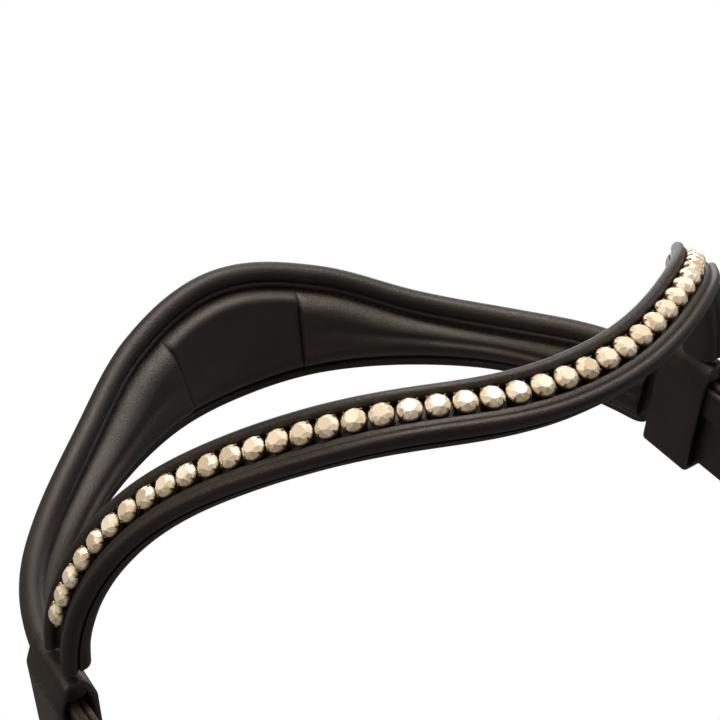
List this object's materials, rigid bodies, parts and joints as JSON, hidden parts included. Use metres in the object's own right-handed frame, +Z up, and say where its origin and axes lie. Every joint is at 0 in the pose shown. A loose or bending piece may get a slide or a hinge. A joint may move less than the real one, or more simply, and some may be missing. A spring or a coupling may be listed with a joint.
{
  "type": "snaffle bridle headstall",
  "caption": "Dark leather snaffle bridle headstall with a padded headpiece, wave-shaped crystal browband, cavesson noseband, cheekpieces and throatlash.",
  "frame": {"origin": "the middle of the headpiece arch, where it lies on the poll, on the face between strap and padding", "axes": "+Z up along the hanging cheekpieces, -Y toward the horse's forehead and nose, +X to the horse's left side"},
  "size_m": [0.2706, 0.1988, 0.479],
  "materials": {
    "leather": "dark brown-black bridle leather, satin",
    "soft_leather": "soft padded calf leather, dull sheen",
    "steel": "polished stainless steel",
    "setting": "pale gold cup chain",
    "crystal": "champagne cut crystal"
  },
  "bodies": {
    "headstall": {"headpiece_strap": "leather", "crown_padding_centre": "soft_leather", "crown_padding_left": "soft_leather", "crown_padding_right": "soft_leather", "crown_front_roll": "soft_leather", "crown_rear_roll": "soft_leather", "cheekpiece_left": "leather", "cheekpiece_right": "leather", "cheek_buckle_left": "steel", "cheek_buckle_right": "steel", "cheek_keeper_left": "leather", "cheek_keeper_right": "leather", "hook_stud_left": "steel", "hook_stud_right": "steel", "noseband_billet_left": "leather", "noseband_billet_right": "leather", "noseband_hanger_left": "leather", "noseband_hanger_right": "leather", "noseband_buckle_left": "steel", "noseband_buckle_right": "steel", "noseband_strap": "leather", "noseband_padding": "soft_leather", "chin_billet": "leather", "chin_strap": "leather", "chin_buckle": "steel", "chin_keeper": "leather", "throatlash_strap": "leather", "throat_buckle_left": "steel", "throat_buckle_right": "steel", "throat_keeper_left": "leather", "throat_keeper_right": "leather"},
    "browband": {"browband_strap": "leather", "browband_lining": "soft_leather", "browband_upper_roll": "soft_leather", "browband_lower_roll": "soft_leather", "crystal_channel": "setting", "crystals": "crystal", "browband_loop_left": "leather", "browband_loop_right": "leather"},
    "cheek_tongue_left": {"cheek_tongue_left": "steel"},
    "cheek_runner_left": {"cheek_runner_left": "leather"},
    "noseband_tongue_left": {"noseband_tongue_left": "steel"},
    "noseband_runner_left": {"noseband_runner_left": "leather"},
    "throat_tongue_left": {"throat_tongue_left": "steel"},
    "throat_runner_left": {"throat_runner_left": "leather"},
    "bit_runner_left": {"bit_runner_left": "leather"},
    "cheek_tongue_right": {"cheek_tongue_right": "steel"},
    "cheek_runner_right": {"cheek_runner_right": "leather"},
    "noseband_tongue_right": {"noseband_tongue_right": "steel"},
    "noseband_runner_right": {"noseband_runner_right": "leather"},
    "throat_tongue_right": {"throat_tongue_right": "steel"},
    "throat_runner_right": {"throat_runner_right": "leather"},
    "bit_runner_right": {"bit_runner_right": "leather"},
    "chin_tongue": {"chin_tongue": "steel"},
    "chin_runner": {"chin_runner": "leather"}
  },
  "joints": [
    {"name": "browband_slide", "type": "slide", "parent": "headstall", "child": "browband", "axis": [0, 0, 1], "range_m": [-0.015, 0.003]},
    {"name": "cheek_tongue_left_hinge", "type": "hinge", "parent": "headstall", "child": "cheek_tongue_left", "pos_m": [0.12209, -0.0104, -0.2255], "axis": [0, 1, 0], "range_deg": [0, 25]},
    {"name": "cheek_runner_left_slide", "type": "slide", "parent": "headstall", "child": "cheek_runner_left", "axis": [0.1392, 0, 0.9903], "range_m": [-0.012, 0.0095]},
    {"name": "noseband_tongue_left_hinge", "type": "hinge", "parent": "headstall", "child": "noseband_tongue_left", "pos_m": [0.09779, -0.0104, -0.29782], "axis": [0, 1, 0], "range_deg": [0, 18]},
    {"name": "noseband_runner_left_slide", "type": "slide", "parent": "headstall", "child": "noseband_runner_left", "axis": [0.1392, 0, 0.9903], "range_m": [-0.012, 0.018]},
    {"name": "throat_tongue_left_hinge", "type": "hinge", "parent": "headstall", "child": "throat_tongue_left", "pos_m": [0.12209, 0.0144, -0.2255], "axis": [0, 1, 0], "range_deg": [0, 25]},
    {"name": "throat_runner_left_slide", "type": "slide", "parent": "headstall", "child": "throat_runner_left", "axis": [0.1392, 0, 0.9903], "range_m": [-0.012, 0.0095]},
    {"name": "bit_runner_left_slide", "type": "slide", "parent": "headstall", "child": "bit_runner_left", "axis": [0.1392, 0, 0.9903], "range_m": [-0.0035, 0.009]},
    {"name": "cheek_tongue_right_hinge", "type": "hinge", "parent": "headstall", "child": "cheek_tongue_right", "pos_m": [-0.12209, -0.0104, -0.2255], "axis": [0, -1, 0], "range_deg": [0, 25]},
    {"name": "cheek_runner_right_slide", "type": "slide", "parent": "headstall", "child": "cheek_runner_right", "axis": [-0.1392, 0, 0.9903], "range_m": [-0.012, 0.0095]},
    {"name": "noseband_tongue_right_hinge", "type": "hinge", "parent": "headstall", "child": "noseband_tongue_right", "pos_m": [-0.09779, -0.0104, -0.29782], "axis": [0, -1, 0], "range_deg": [0, 18]},
    {"name": "noseband_runner_right_slide", "type": "slide", "parent": "headstall", "child": "noseband_runner_right", "axis": [-0.1392, 0, 0.9903], "range_m": [-0.012, 0.018]},
    {"name": "throat_tongue_right_hinge", "type": "hinge", "parent": "headstall", "child": "throat_tongue_right", "pos_m": [-0.12209, 0.0144, -0.2255], "axis": [0, -1, 0], "range_deg": [0, 25]},
    {"name": "throat_runner_right_slide", "type": "slide", "parent": "headstall", "child": "throat_runner_right", "axis": [-0.1392, 0, 0.9903], "range_m": [-0.012, 0.0095]},
    {"name": "bit_runner_right_slide", "type": "slide", "parent": "headstall", "child": "bit_runner_right", "axis": [-0.1392, 0, 0.9903], "range_m": [-0.0035, 0.009]},
    {"name": "chin_tongue_hinge", "type": "hinge", "parent": "headstall", "child": "chin_tongue", "pos_m": [-0.008, 0.0645, -0.38794], "axis": [0, 0, -1], "range_deg": [0, 25]},
    {"name": "chin_runner_slide", "type": "slide", "parent": "headstall", "child": "chin_runner", "axis": [-1, 0, 0], "range_m": [-0.006, 0.0095]}
  ]
}
